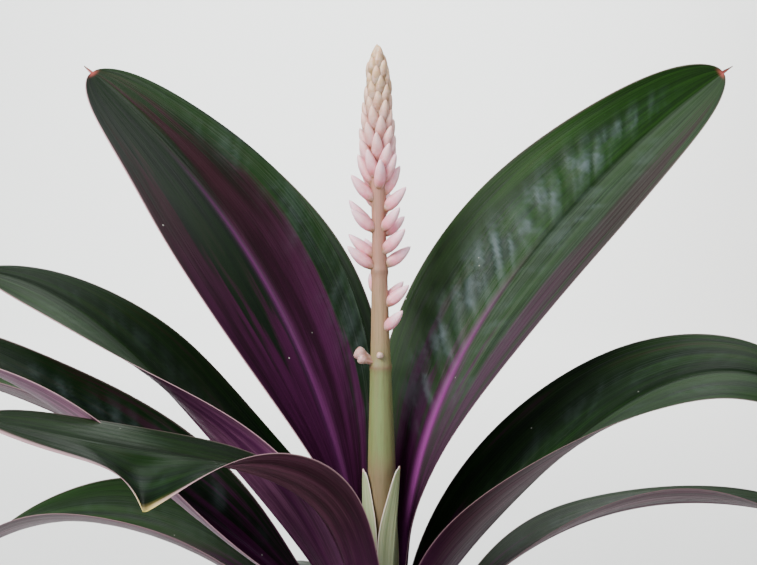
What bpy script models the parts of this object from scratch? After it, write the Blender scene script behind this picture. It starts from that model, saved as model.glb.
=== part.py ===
"""A rosette house plant in a plain pot: soil, stem, lance leaves, two sheaths and a flower spike.

Lengths are in metres and angles in degrees. +Z is up, the pot stands on Z = 0 and its axis is the
Z axis. A bearing is an angle from +X towards +Y, and -Y is the side that faces the viewer.
"""

import math
import random
from collections import namedtuple

import bmesh
import bpy
import numpy as np
from mathutils import Matrix, Vector

for startup in list(bpy.data.objects):
    bpy.data.objects.remove(startup)

# Driving dimensions of the pot and what fills it
GAP = 0.0003  # air between neighbouring pieces
CLASP_GAP = 0.0005  # air between the stem and the leaf bases that wrap it
POT_HEIGHT = 0.120
POT_TOP_RADIUS = 0.070
POT_BASE_RADIUS = 0.050
POT_WALL = 0.004
POT_FLOOR = 0.006
POT_EDGE = 0.0012  # softening of the rim and foot
POT_SIDES = 48
RIM_HEIGHT = 0.026
RIM_STEP = 0.0035  # how far the rim band stands out from the wall
DRAIN_HOLES = 4
DRAIN_RADIUS = 0.005
DRAIN_CIRCLE = 0.027  # the middle of the base stays solid
DRAIN_SIDES = 16
SOIL_TOP = POT_HEIGHT - 0.012
SOIL_MOUND = 0.003  # rise of the soil from the wall to the stem

# Driving dimensions of the stem and the crown
STEM_FOOT = 0.055
STEM_TOP = 0.167
STEM_RADIUS = 0.010
STEM_TAPER = 0.05  # radius lost for each metre climbed above the soil
STEM_SIDES = 24
SCAR_PITCH = 0.006  # from one old leaf's scar to the next
SCAR_DEPTH = 0.0003

# Driving dimensions that all leaves share
BLADE_THICKNESS = 0.0007
BLADE_ROWS = 20
BLADE_COLUMNS = 5
BLADE_FULLNESS = 0.85  # lower is fuller towards both ends
BASE_WIDTH = 0.25  # the clasping base, as a share of the blade's width
TIP_WIDTH = 0.0006
RIB_FOLD = (0, 10, 8, 8)  # slope beside the rib, blended from base to tip

# Driving dimensions of the flower spike; SPIKE_RADII runs up the stalk and then the cone's core
SPIKE_FOOT = (-0.0022, 0.0, STEM_TOP + GAP)
SPIKE_TIP = (-0.0049, 0.0, 0.4145)
SPIKE_SIDES = 14
SPIKE_RADII = [(0.167, 0.0068), (0.233, 0.0062), (0.263, 0.0051), (0.289, 0.0042), (0.315, 0.0036),
               (0.334, 0.0032), (0.350, 0.0034), (0.372, 0.0046), (0.395, 0.0045), (0.407, 0.0031),
               (0.4145, 0.0012)]
RING_HEIGHTS = (0.275, 0.318)  # joints of the stalk
RING_SWELL = 0.0005
RING_REACH = 0.002
BUD_SIDES = 6
BUD_SINK = 0.6  # root of a bud, as a share of the stalk's radius
BUD_OUTLINE = ((0.0, 0.55), (0.25, 0.88), (0.5, 1.0), (0.75, 0.80), (0.92, 0.42), (1.0, 0.08))
CONE_BUDS = 50
CONE_FOOT = 0.350
CONE_TOP = 0.4095
CONE_RISE = (53, 78)  # this and the bud sizes run from the cone's foot to its top
CONE_BUD_LENGTH = (0.0145, 0.0084)
CONE_BUD_RADIUS = (0.0030, 0.0022)
CONE_SEED = 7
GOLDEN_ANGLE = 137.5

# Buds on the open part of the stalk: height of the root, bearing, rise, length and radius
SIDE_BUDS = [
    (0.2755, 190, 30, 0.0130, 0.0034),
    (0.2800, 268, 10, 0.0050, 0.0016),
    (0.2900, 300, 45, 0.0135, 0.0030),
    (0.3010, 350, 40, 0.0150, 0.0027),
    (0.3030, 20, 42, 0.0130, 0.0024),
    (0.3060, 110, 40, 0.0140, 0.0027),
    (0.3180, 195, 38, 0.0165, 0.0028),
    (0.3190, 2, 36, 0.0150, 0.0028),
    (0.3210, 120, 40, 0.0150, 0.0027),
    (0.3230, 176, 40, 0.0160, 0.0027),
    (0.3250, 328, 43, 0.0165, 0.0029),
    (0.3300, 95, 42, 0.0150, 0.0027),
    (0.3330, 18, 38, 0.0135, 0.0026),
    (0.3340, 182, 50, 0.0190, 0.0028),
    (0.3350, 202, 40, 0.0155, 0.0028),
    (0.3360, 295, 50, 0.0100, 0.0024),
    (0.3410, 65, 45, 0.0145, 0.0026),
    (0.3435, 352, 45, 0.0155, 0.0028),
    (0.3450, 128, 47, 0.0150, 0.0027),
    (0.3480, 196, 46, 0.0165, 0.0028),
]

# A leaf: where it leaves the stem, its size, and how its rib runs. Each tuple of angles is blended
# from the base to the tip. Rise is the rib's slope, roll turns the blade about the rib, and fold is
# the slope of the blade's margins against its middle. Belly is where along the leaf it is widest and
# start is where its blade begins. The corner, if it has one, is a bent piece of the margin.
Leaf = namedtuple(
    "Leaf", "name height length width bearing rise roll fold belly start corner", defaults=[None]
)
Corner = namedtuple("Corner", "place before after droop")

DROOPING_CORNER = Corner(place=0.74, before=0.09, after=0.05, droop=48)

LEAVES = [
    Leaf("leaf_right_tall", 0.158, 0.313, 0.075, (25, -14, 20, 18, 15), (92, 82, 38, 48, 31),
         (0, 60, 14, 34, 76), (8, 20, 24), 0.52, 0.12),
    Leaf("leaf_left_tall", 0.153, 0.314, 0.072, (158, 140, 160, 149), (84, 70, 44, 36),
         (0, -45, -25, -45), (27, 20, 20), 0.57, 0.13),
    Leaf("leaf_left_torn", 0.147, 0.248, 0.065, (254, 282, 146, 210, 209), (70, 112, -68, 42, 8),
         (0, -45, 74, -34, -7), (70, 49, -14, -7), 0.68, 0.20, DROOPING_CORNER),
    Leaf("leaf_left_upper", 0.142, 0.259, 0.080, (174, 142, 247, 116, 224), (67, 39, 55, 57, 4),
         (0, 22, 13, -30, -35), (49, 57, 32, -49), 0.38, 0.08),
    Leaf("leaf_right_upper", 0.140, 0.245, 0.080, (-1, -30, -1, 18, -13), (82, 24, 64, 41, -47),
         (0, 21, -2, 5, 53), (79, 22, 17, -18), 0.48, 0.06),
    Leaf("leaf_left_middle", 0.136, 0.257, 0.066, (198, 186, 192, 186), (60, 20, 58, 14),
         (0, -84, 46, -35), (44, 48, 36), 0.60, 0.15),
    Leaf("leaf_left_far", 0.130, 0.272, 0.056, (166, 171, 172, 173), (56, 40, 24, 10),
         (0, 8, 14, 3), (29, 19, 20), 0.60, 0.15),
    Leaf("leaf_left_low", 0.120, 0.242, 0.060, (156, 159, 159, 162), (50, 32, 6, -38),
         (0, 0, -12, 0), (50, 38, 20), 0.60, 0.15),
    Leaf("leaf_right_low", 0.130, 0.264, 0.048, (34, 32, 24, 18), (54, 16, -4, -20),
         (0, 0, -45, 35), (30, 18, 16), 0.60, 0.15),
    Leaf("leaf_back_tall", 0.148, 0.318, 0.064, (103, 124, 128, 131), (72, 56, 41, 38),
         (0, 0, 0, 4), (30, 20, 20), 0.60, 0.15),
    Leaf("leaf_back_middle", 0.135, 0.235, 0.056, (88, 104, 100, 97), (62, 48, 24, -4),
         (0, 10, 10, 10), (30, 20, 18), 0.60, 0.15),
    Leaf("leaf_back_right", 0.116, 0.235, 0.058, (64, 66, 68, 70), (36, 4, -22, -42),
         (0, 0, 0, 0), (30, 20, 18), 0.60, 0.15),
    Leaf("leaf_front_right", 0.132, 0.240, 0.060, (300, 302, 304, 306), (56, 30, -20, -50),
         (0, 0, 0, 0), (30, 20, 18), 0.60, 0.15),
    Leaf("leaf_front_left", 0.123, 0.245, 0.060, (256, 254, 250, 248), (50, 26, -24, -48),
         (0, 0, 0, 0), (30, 20, 18), 0.60, 0.15),
    Leaf("leaf_right_front", 0.119, 0.230, 0.058, (334, 334, 336, 338), (44, 24, -10, -42),
         (0, 0, 0, 0), (30, 20, 18), 0.60, 0.15),
    Leaf("leaf_back_left", 0.112, 0.225, 0.056, (122, 120, 118, 116), (40, 14, -18, -44),
         (0, 0, 0, 0), (30, 20, 18), 0.60, 0.15),
]
SHEATHS = [
    Leaf("sheath_right", 0.170, 0.062, 0.016, (-44, -36), (88, 86), (0, 0), (55, 50), 0.45, 0.02),
    Leaf("sheath_left", 0.169, 0.060, 0.014, (196, 190), (89, 88), (0, 0), (55, 50), 0.45, 0.02),
]


# Shared helpers


def make_material(name, colour, roughness):
    material = bpy.data.materials.new(name)
    material.use_nodes = True
    shader = material.node_tree.nodes["Principled BSDF"]
    shader.inputs["Base Color"].default_value = (*colour, 1.0)
    shader.inputs["Roughness"].default_value = roughness
    material.diffuse_color = (*colour, 1.0)
    return material


def add_object(name, mesh, material):
    mesh.materials.append(material)
    mesh.shade_smooth()
    mesh.set_sharp_from_angle(angle=math.radians(40))
    made = bpy.data.objects.new(name, mesh)
    bpy.context.scene.collection.objects.link(made)
    return made


def blend(values, t):
    """Bezier blend of control values: it starts at the first, ends at the last and stays between."""
    degree = len(values) - 1
    return sum(
        math.comb(degree, i) * value * t**i * (1 - t) ** (degree - i) for i, value in enumerate(values)
    )


def turned(name, profile, sides):
    """Mesh of a profile of (radius, height) points turned about Z, from axis to axis or closed."""
    work = bmesh.new()
    points = [work.verts.new((radius, 0, height)) for radius, height in profile]
    edges = [work.edges.new(pair) for pair in zip(points, points[1:])]
    bmesh.ops.spin(
        work, geom=points + edges, cent=(0, 0, 0), axis=(0, 0, 1), angle=2 * math.pi,
        steps=sides, use_merge=True,
    )
    bmesh.ops.remove_doubles(work, verts=work.verts, dist=1e-7)
    bmesh.ops.recalc_face_normals(work, faces=work.faces)
    mesh = bpy.data.meshes.new(name)
    work.to_mesh(mesh)
    work.free()
    return mesh


# Pot, with drain holes round a solid middle


def wall_radius(height):
    """Outer radius of the pot's plain wall."""
    share = height / POT_HEIGHT
    return POT_BASE_RADIUS + (POT_TOP_RADIUS - RIM_STEP - POT_BASE_RADIUS) * share


def inner_radius(height):
    return wall_radius(height) - POT_WALL


def make_pot():
    band = POT_HEIGHT - RIM_HEIGHT
    profile = [
        (0, 0),
        (POT_BASE_RADIUS - POT_EDGE, 0),
        (POT_BASE_RADIUS, POT_EDGE),
        (wall_radius(band), band),
        (POT_TOP_RADIUS - POT_EDGE, band),
        (POT_TOP_RADIUS, band + POT_EDGE),
        (POT_TOP_RADIUS, POT_HEIGHT - POT_EDGE),
        (POT_TOP_RADIUS - POT_EDGE, POT_HEIGHT),
        (inner_radius(POT_HEIGHT) + POT_EDGE, POT_HEIGHT),
        (inner_radius(POT_HEIGHT), POT_HEIGHT - POT_EDGE),
        (inner_radius(POT_FLOOR), POT_FLOOR),
        (0, POT_FLOOR),
    ]
    pot = add_object("pot", turned("pot", profile, POT_SIDES), clay)
    for index in range(DRAIN_HOLES):
        angle = 2 * math.pi * (index + 0.5) / DRAIN_HOLES
        place = Vector((DRAIN_CIRCLE * math.cos(angle), DRAIN_CIRCLE * math.sin(angle), POT_FLOOR / 2))
        work = bmesh.new()
        bmesh.ops.create_cone(
            work, cap_ends=True, segments=DRAIN_SIDES, radius1=DRAIN_RADIUS, radius2=DRAIN_RADIUS,
            depth=3 * POT_FLOOR, matrix=Matrix.Translation(place),
        )
        mesh = bpy.data.meshes.new("drain_cutter")
        work.to_mesh(mesh)
        work.free()
        cutter = add_object(f"drain_cutter_{index + 1}", mesh, clay)
        cutter.hide_render = True
        cutter.display_type = "WIRE"
        cut = pot.modifiers.new(f"drain_{index + 1}", "BOOLEAN")
        cut.operation = "DIFFERENCE"
        cut.object = cutter


# Soil, a filled disc with a plain hole for the stem


def make_soil():
    hole = STEM_RADIUS + GAP
    bottom = POT_FLOOR + GAP
    outer = inner_radius(SOIL_TOP) - 2 * GAP
    profile = [
        (0, bottom),
        (inner_radius(bottom) - 2 * GAP, bottom),
        (outer, SOIL_TOP),
        (0.6 * outer, SOIL_TOP + 0.6 * SOIL_MOUND),
        (0.35 * outer, SOIL_TOP + SOIL_MOUND),
        (hole, SOIL_TOP + SOIL_MOUND),
        (hole, STEM_FOOT - GAP),
        (0, STEM_FOOT - GAP),
    ]
    add_object("soil", turned("soil", profile, POT_SIDES), earth)


# Stem, with a low ring where each old leaf has dropped off


def stem_radius(height):
    return STEM_RADIUS - STEM_TAPER * max(0.0, height - SOIL_TOP)


def make_stem():
    foot_edge = 0.4 * STEM_RADIUS
    profile = [(0, STEM_FOOT), (STEM_RADIUS - foot_edge, STEM_FOOT), (STEM_RADIUS, STEM_FOOT + foot_edge)]
    scar = SOIL_TOP - SCAR_PITCH
    while scar < STEM_TOP - 2 * SCAR_PITCH:
        profile.append((stem_radius(scar) - SCAR_DEPTH, scar))
        profile.append((stem_radius(scar), scar + 0.8 * SCAR_PITCH))
        scar += SCAR_PITCH
    top_edge = 0.2 * STEM_RADIUS
    profile.append((stem_radius(STEM_TOP), STEM_TOP - top_edge))
    profile.append((stem_radius(STEM_TOP) - top_edge, STEM_TOP))
    profile.append((0, STEM_TOP))
    add_object("stem", turned("stem", profile, STEM_SIDES), bark)


# Leaves, each a thin closed sheet with both faces split into triangles alike


def half_width(leaf, t):
    """A lance outline that is widest at the leaf's belly, on a clasping base that narrows to nothing."""
    s = np.clip((t - leaf.start) / (1 - leaf.start), 0, 1)
    shift = math.log(0.5) / math.log((leaf.belly - leaf.start) / (1 - leaf.start))
    blade = np.sin(np.pi * s**shift).clip(0, 1) ** BLADE_FULLNESS
    base = BASE_WIDTH * (1 - t)
    return 0.5 * leaf.width * (blade**3 + base**3) ** (1 / 3) + 0.5 * TIP_WIDTH


def leaf_rib(leaf, seat, t):
    """Rib points from base to tip, with the leaf's own sideways and upward directions at each.

    The rib is summed from short steps whose slope and bearing blend from base to tip.
    """
    rise, bearing, roll = (np.radians(blend(values, t)) for values in (leaf.rise, leaf.bearing, leaf.roll))
    along = np.stack([np.cos(rise) * np.cos(bearing), np.cos(rise) * np.sin(bearing), np.sin(rise)], 1)
    left = np.stack([-np.sin(bearing), np.cos(bearing), 0 * t], 1)
    over = np.cross(along, left)
    turn = np.cos(roll)[:, None]
    lean = np.sin(roll)[:, None]
    centre, radius = seat
    out = np.array([math.cos(bearing[0]), math.sin(bearing[0]), 0])
    start = np.array([centre[0], centre[1], leaf.height]) + radius * out
    steps = (along[1:] + along[:-1]) / 2 * leaf.length / (len(t) - 1)
    rib = start + np.vstack([np.zeros(3), np.cumsum(steps, axis=0)])
    return rib, turn * left + lean * over, turn * over - lean * left


def corner_droop(corner, t, u):
    """Extra downward slope of the near half of a blade, strongest at its bent corner."""
    if corner is None:
        return np.zeros((len(t), len(u)))
    away = t - corner.place
    nearness = np.exp(np.where(away < 0, away / corner.before, -away / corner.after))
    return np.radians(corner.droop) * nearness[:, None] * (u > 0)


def leaf_sheet(leaf, seat, rows, columns):
    """Middle surface of a leaf and its unit normals, as grids that run from base to tip.

    Across it the blade is an arc on each side: its slope grows evenly from the rib's fold to the
    margin's. The base is rolled to wrap the stem.
    """
    t = np.linspace(0, 1, rows + 1)
    u = np.linspace(-1, 1, columns)
    rib, across, upward = leaf_rib(leaf, seat, t)
    half = half_width(leaf, t)
    wrap = math.degrees(half[0] / seat[1])
    middle = np.radians(blend(RIB_FOLD, t))[:, None]
    margin = np.radians(blend((wrap, *leaf.fold), t))[:, None]
    inner = middle - corner_droop(leaf.corner, t, u)
    slope = inner + (margin - middle) * np.abs(u)
    mean = (inner + slope) / 2
    y = half[:, None] * u * np.cos(mean)
    z = half[:, None] * np.abs(u) * np.sin(mean)
    points = rib[:, None] + y[..., None] * across[:, None] + z[..., None] * upward[:, None]
    tilt = (slope * np.sign(u))[..., None]
    normals = np.cos(tilt) * upward[:, None] - np.sin(tilt) * across[:, None]
    return points, normals


def slab(name, points, normals, thickness):
    """Closed mesh of a sheet: its two faces share one pattern of triangles, and a wall joins them."""
    rows, columns = points.shape[:2]
    count = rows * columns
    upper = (points + normals * thickness / 2).reshape(-1, 3)
    lower = (points - normals * thickness / 2).reshape(-1, 3)
    index = np.arange(count).reshape(rows, columns)
    a, b, c, d = index[:-1, :-1], index[1:, :-1], index[1:, 1:], index[:-1, 1:]
    on_right = np.broadcast_to(np.arange(columns - 1) < (columns - 1) // 2, a.shape)
    one = np.where(on_right[..., None], np.stack([a, b, c], -1), np.stack([a, b, d], -1)).reshape(-1, 3)
    two = np.where(on_right[..., None], np.stack([a, c, d], -1), np.stack([b, c, d], -1)).reshape(-1, 3)
    sheet = np.vstack([one, two])
    border = np.concatenate([index[0, :-1], index[:-1, -1], index[-1, :0:-1], index[:0:-1, 0]])
    after = np.roll(border, -1)
    wall_one = np.stack([border, after + count, border + count], 1)
    wall_two = np.stack([border, after, after + count], 1)
    faces = np.vstack([sheet, sheet[:, ::-1] + count, wall_one, wall_two])
    mesh = bpy.data.meshes.new(name)
    mesh.from_pydata(np.vstack([upper, lower]).tolist(), [], faces.tolist())
    mesh.update()
    return mesh


def make_leaf(leaf, seat, material):
    points, normals = leaf_sheet(leaf, seat, BLADE_ROWS, BLADE_COLUMNS)
    add_object(leaf.name, slab(leaf.name, points, normals, BLADE_THICKNESS), material)


def make_leaves():
    for leaf in LEAVES:
        radius = stem_radius(leaf.height) + CLASP_GAP + BLADE_THICKNESS / 2
        make_leaf(leaf, ((0, 0), radius), foliage)
    for sheath in SHEATHS:
        radius = SPIKE_RADII[0][1] + CLASP_GAP + BLADE_THICKNESS / 2
        make_leaf(sheath, (SPIKE_FOOT[:2], radius), pale_green)


# Flower spike: a tapering stalk with buds fused to it


def spike_centre(height):
    share = (height - SPIKE_FOOT[2]) / (SPIKE_TIP[2] - SPIKE_FOOT[2])
    return Vector(SPIKE_FOOT).lerp(Vector(SPIKE_TIP), share)


def stalk_radius(height):
    heights, radii = zip(*SPIKE_RADII)
    swell = sum(math.exp(-(((height - ring) / RING_REACH) ** 2)) for ring in RING_HEIGHTS)
    return float(np.interp(height, heights, radii)) + RING_SWELL * swell


def revolved_rod(name, stations, sides):
    """Closed mesh of rings: each station is a centre, a radius and an axis direction."""
    work = bmesh.new()
    rings = []
    for centre, radius, axis in stations:
        turn = axis.to_track_quat("Z", "Y").to_matrix()
        spokes = [Vector((math.cos(a), math.sin(a), 0)) for a in np.arange(sides) * 2 * math.pi / sides]
        rings.append([work.verts.new(centre + turn @ (spoke * radius)) for spoke in spokes])
    for low, high in zip(rings, rings[1:]):
        for i in range(sides):
            j = (i + 1) % sides
            work.faces.new((low[i], low[j], high[j], high[i]))
    work.faces.new(rings[0][::-1])
    work.faces.new(rings[-1])
    mesh = bpy.data.meshes.new(name)
    work.to_mesh(mesh)
    work.free()
    return mesh


def bud_mesh(height, bearing, rise, length, radius):
    """A spindle that leaves the stalk's core and narrows to a point."""
    angle, slope = math.radians(bearing), math.radians(rise)
    axis = Vector((math.cos(slope) * math.cos(angle), math.cos(slope) * math.sin(angle), math.sin(slope)))
    root = spike_centre(height)
    root.z = height
    start = root + axis * BUD_SINK * stalk_radius(height)
    stations = [(start + axis * length * share, radius * girth, axis) for share, girth in BUD_OUTLINE]
    return revolved_rod("bud", stations, BUD_SIDES)


def cone_buds():
    """Buds on a golden-angle spiral: they shorten and stand closer to the stalk towards the top."""
    draws = random.Random(CONE_SEED)
    for index in range(CONE_BUDS):
        share = index / (CONE_BUDS - 1)
        height = CONE_FOOT + (CONE_TOP - CONE_FOOT) * share
        bearing = GOLDEN_ANGLE * index + draws.uniform(-6, 6)
        rise = np.interp(share, (0, 1), CONE_RISE) + draws.uniform(-3, 3)
        length = np.interp(share, (0, 1), CONE_BUD_LENGTH)
        radius = np.interp(share, (0, 1), CONE_BUD_RADIUS)
        yield height, bearing, rise, length, radius


def make_spike():
    stations = []
    steps = [RING_REACH * share for share in (-2, -0.75, 0, 0.75, 2)]
    around_rings = [ring + step for ring in RING_HEIGHTS for step in steps]
    for height in sorted([height for height, _ in SPIKE_RADII] + around_rings):
        centre = spike_centre(max(height, SPIKE_FOOT[2]))
        stations.append((centre, stalk_radius(height), Vector((0, 0, 1))))
    spike = add_object("flower_spike", revolved_rod("flower_spike", stations, SPIKE_SIDES), blossom)
    fuse_buds(spike)


def fuse_buds(spike):
    buds = bpy.data.collections.new("buds")
    bpy.context.scene.collection.children.link(buds)
    for bud in [*SIDE_BUDS, *cone_buds()]:
        buds.objects.link(bpy.data.objects.new("bud", bud_mesh(*bud)))
    union = spike.modifiers.new("buds", "BOOLEAN")
    union.operation = "UNION"
    union.operand_type = "COLLECTION"
    union.collection = buds
    union.solver = "MANIFOLD"
    bpy.context.view_layer.update()
    joined = bpy.data.meshes.new_from_object(spike.evaluated_get(bpy.context.evaluated_depsgraph_get()))
    spike.modifiers.clear()
    spike.data = joined
    joined.name = "flower_spike"
    for bud in list(buds.objects):
        bpy.data.objects.remove(bud)
    bpy.data.collections.remove(buds)


clay = make_material("clay", (0.55, 0.25, 0.14), 0.85)
earth = make_material("earth", (0.045, 0.030, 0.020), 0.95)
bark = make_material("bark", (0.20, 0.17, 0.09), 0.70)
foliage = make_material("foliage", (0.035, 0.060, 0.025), 0.38)
pale_green = make_material("pale_green", (0.55, 0.60, 0.36), 0.50)
blossom = make_material("blossom", (0.74, 0.50, 0.46), 0.45)

make_pot()
make_soil()
make_stem()
make_leaves()
make_spike()
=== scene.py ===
import math
import random
from collections import namedtuple

import bmesh
import bpy
import numpy as np
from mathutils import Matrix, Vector


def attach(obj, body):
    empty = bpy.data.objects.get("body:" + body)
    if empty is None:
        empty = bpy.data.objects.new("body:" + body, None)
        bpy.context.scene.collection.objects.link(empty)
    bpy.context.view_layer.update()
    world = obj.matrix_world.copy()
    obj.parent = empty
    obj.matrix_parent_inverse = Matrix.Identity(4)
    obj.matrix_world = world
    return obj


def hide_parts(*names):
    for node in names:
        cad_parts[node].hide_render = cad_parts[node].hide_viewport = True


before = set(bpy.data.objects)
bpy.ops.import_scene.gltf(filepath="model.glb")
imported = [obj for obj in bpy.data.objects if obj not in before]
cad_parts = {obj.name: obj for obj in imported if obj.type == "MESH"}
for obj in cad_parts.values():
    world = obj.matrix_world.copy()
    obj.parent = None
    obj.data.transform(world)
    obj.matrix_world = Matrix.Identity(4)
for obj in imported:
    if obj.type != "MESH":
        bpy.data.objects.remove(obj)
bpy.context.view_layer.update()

# Pot
# A flower pot of unglazed terracotta, pressed in a mould and fired: a tapering wall, a thicker band at
# the rim and four drain holes in the base. Lime from the water has left pale stains on the clay.

POT_HEIGHT = 0.120
POT_TOP_RADIUS = 0.070
POT_BASE_RADIUS = 0.050
POT_WALL = 0.004
POT_FLOOR = 0.006
RIM_HEIGHT = 0.026
RIM_STEP = 0.0035
EDGE_ROUNDING = 0.0012
MERGE_DISTANCE = 1e-6
PROFILE_STEP = 0.0015
POT_SIDES = 144
TURNING_DEPTH = 0.00012
TURNING_PITCHES = (0.0041, 0.029)
DRAIN_HOLES = 4
DRAIN_SIDES = 24
DRAIN_RADIUS = 0.005
DRAIN_CIRCLE = 0.027


def wall_radius(height):
    """Radius of the plain wall: a straight taper from the foot to the top."""
    return POT_BASE_RADIUS + (POT_TOP_RADIUS - RIM_STEP - POT_BASE_RADIUS) * height / POT_HEIGHT


def rounded(profile, reach, steps=5):
    """Profile whose corners are quadratic curves that leave and rejoin the straight lines at reach."""
    points = np.array(profile, float)
    corner, before, after = points[1:-1], points[:-2], points[2:]
    back = (before - corner) / np.linalg.norm(before - corner, axis=1, keepdims=True)
    ahead = (after - corner) / np.linalg.norm(after - corner, axis=1, keepdims=True)
    s = np.linspace(0, 1, steps)[None, :, None]
    curve = corner[:, None] + (1 - s) ** 2 * reach * back[:, None] + s**2 * reach * ahead[:, None]
    return np.vstack([points[:1], curve.reshape(-1, 2), points[-1:]])


def evenly(profile, spacing):
    """The same line with points added so that none lie further apart than spacing."""
    lengths = np.linalg.norm(np.diff(profile, axis=0), axis=1)
    along = np.concatenate([[0], np.cumsum(lengths)])
    extra = np.arange(0, along[-1], spacing)
    stops = np.unique(np.concatenate([along, extra]).round(7))
    return np.stack([np.interp(stops, along, profile[:, i]) for i in range(2)], 1)


def turned_grid(profile, sides):
    """Grid of points: each profile point (radius, height) carried once round the Z axis."""
    angle = np.arange(sides) * 2 * math.pi / sides
    radius, height = profile[:, :1], profile[:, 1:]
    return np.stack([radius * np.cos(angle), radius * np.sin(angle), height + 0 * angle], -1)


def ripple(points, wavelength, seed, waves=28):
    """Smooth random relief, about -1 to 1: a mean of plane waves in random directions near one length."""
    draws = np.random.default_rng(seed)
    ways = draws.normal(size=(waves, 3))
    lengths = np.linalg.norm(ways, axis=1)
    ways *= (draws.uniform(0.6, 1.5, waves) * 2 * math.pi / wavelength / lengths)[:, None]
    return 3 * np.sin(points @ ways.T + draws.uniform(0, 2 * math.pi, waves)).mean(-1)


def grid_mesh(name, points, closed=True, capped=False):
    """Mesh of a grid of points, or of many like grids given as one array, with one face for each cell. A
    closed grid joins its last column to its first, and caps fill its first and its last row."""
    rows, columns = points.shape[-3:-1]
    index = np.arange(points.size // 3).reshape(-1, rows, columns)
    caps = index[:, 0, ::-1].tolist() + index[:, -1].tolist() if capped else []
    index = np.concatenate([index, index[:, :, :1]], axis=2) if closed else index
    cells = np.stack([index[:, :-1, :-1], index[:, 1:, :-1], index[:, 1:, 1:], index[:, :-1, 1:]], -1)
    mesh = bpy.data.meshes.new(name)
    mesh.from_pydata(points.reshape(-1, 3).tolist(), [], cells.reshape(-1, 4).tolist() + caps)
    return mesh


def sealed(mesh, poles=True):
    """Merges the points that meet at the mesh's poles, if it has any, and turns every face outwards."""
    work = bmesh.new()
    work.from_mesh(mesh)
    if poles:
        bmesh.ops.remove_doubles(work, verts=work.verts, dist=MERGE_DISTANCE)
    bmesh.ops.recalc_face_normals(work, faces=work.faces)
    work.to_mesh(mesh)
    work.free()
    return mesh


def piece(name, mesh, finish, slot, *nodes):
    """A finished piece: an object at the origin that stands for CAD nodes and takes the finish given. The
    slot is not used.
    """
    mesh.materials.append(finish)
    mesh.shade_smooth()
    made = bpy.data.objects.new(name, mesh)
    bpy.context.scene.collection.objects.link(made)
    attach(made, "root")
    if nodes:
        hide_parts(*nodes)
    return made


def node(tree, kind, inputs=(), **settings):
    """A shader node with its settings, and each input given as a value or as a socket to join."""
    made = tree.nodes.new(kind)
    for key, value in settings.items():
        setattr(made, key, value)
    for key, value in dict(inputs).items():
        if isinstance(value, bpy.types.NodeSocket):
            tree.links.new(value, made.inputs[key])
        else:
            made.inputs[key].default_value = value
    return made


def blended(tree, mask, low, high):
    """Colour socket that goes from low to high as the mask goes from 0 to 1."""
    made = node(tree, "ShaderNodeMix", {0: mask, 6: low, 7: high}, data_type="RGBA")
    return made.outputs[2]


def stepped(tree, value, start, end):
    """Mask socket that goes smoothly from 0 to 1 as the value goes from start to end."""
    made = node(
        tree, "ShaderNodeMapRange", {0: value, 1: start, 2: end}, interpolation_type="SMOOTHSTEP"
    )
    return made.outputs[0]


def sums(tree, operation, first, second):
    """Number socket that joins two numbers or sockets by the operation: a sum, a product, the larger."""
    made = node(tree, "ShaderNodeMath", {0: first, 1: second}, operation=operation)
    return made.outputs[0]


def times(tree, first, second):
    """Number socket that is the product of two numbers or sockets."""
    return sums(tree, "MULTIPLY", first, second)


def noise(tree, vector, scale, detail=3.0, roughness=0.55):
    """Socket of a random pattern between 0 and 1, with scale patches in each unit of the vector."""
    made = node(
        tree, "ShaderNodeTexNoise",
        {"Vector": vector, "Scale": scale, "Detail": detail, "Roughness": roughness},
    )
    return made.outputs[0]


def new_finish(name, **values):
    """A material whose shader has the plain values given. Returns the material, its tree and shader."""
    made = bpy.data.materials.new(name)
    made.use_nodes = True
    shader = made.node_tree.nodes["Principled BSDF"]
    for key, value in values.items():
        shader.inputs[key.replace("_", " ")].default_value = value
    return made, made.node_tree, shader


def bumped(tree, shader, height, strength, distance):
    """Roughens the shader's surface by a height mask, whose full depth is the distance."""
    bump = node(tree, "ShaderNodeBump", {"Height": height, "Strength": strength, "Distance": distance})
    tree.links.new(bump.outputs[0], shader.inputs["Normal"])


def new_group(name, inputs, outputs):
    """A node group with inputs of the kinds given and with outputs that are all numbers. Returns the group
    and its own input and output nodes."""
    group = bpy.data.node_groups.new(name, "ShaderNodeTree")
    for title, kind in inputs.items():
        group.interface.new_socket(title, in_out="INPUT", socket_type="NodeSocket" + kind)
    for title in outputs:
        group.interface.new_socket(title, in_out="OUTPUT", socket_type="NodeSocketFloat")
    return group, group.nodes.new("NodeGroupInput"), group.nodes.new("NodeGroupOutput")


def make_grain_group():
    """Two masks of one surface at a given size: soft blotches and fine grains."""
    kinds = {"Vector": "Vector", "Blotch Scale": "Float", "Grain Scale": "Float"}
    group, given, result = new_group("grain", kinds, ["Blotches", "Grains"])
    blotches = noise(group, given.outputs["Vector"], given.outputs["Blotch Scale"], 5.0, 0.6)
    grains = noise(group, given.outputs["Vector"], given.outputs["Grain Scale"], 2.0, 0.7)
    group.links.new(stepped(group, blotches, 0.36, 0.66), result.inputs["Blotches"])
    group.links.new(grains, result.inputs["Grains"])
    return group


def grain_masks(tree, vector, blotch_scale, grain_scale):
    """Mask sockets of the blotches and the grains, at the numbers given for each unit of the vector."""
    sizes = {"Vector": vector, "Blotch Scale": blotch_scale, "Grain Scale": grain_scale}
    made = node(tree, "ShaderNodeGroup", sizes, node_tree=grain_group)
    return made.outputs["Blotches"], made.outputs["Grains"]


grain_group = make_grain_group()


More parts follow.
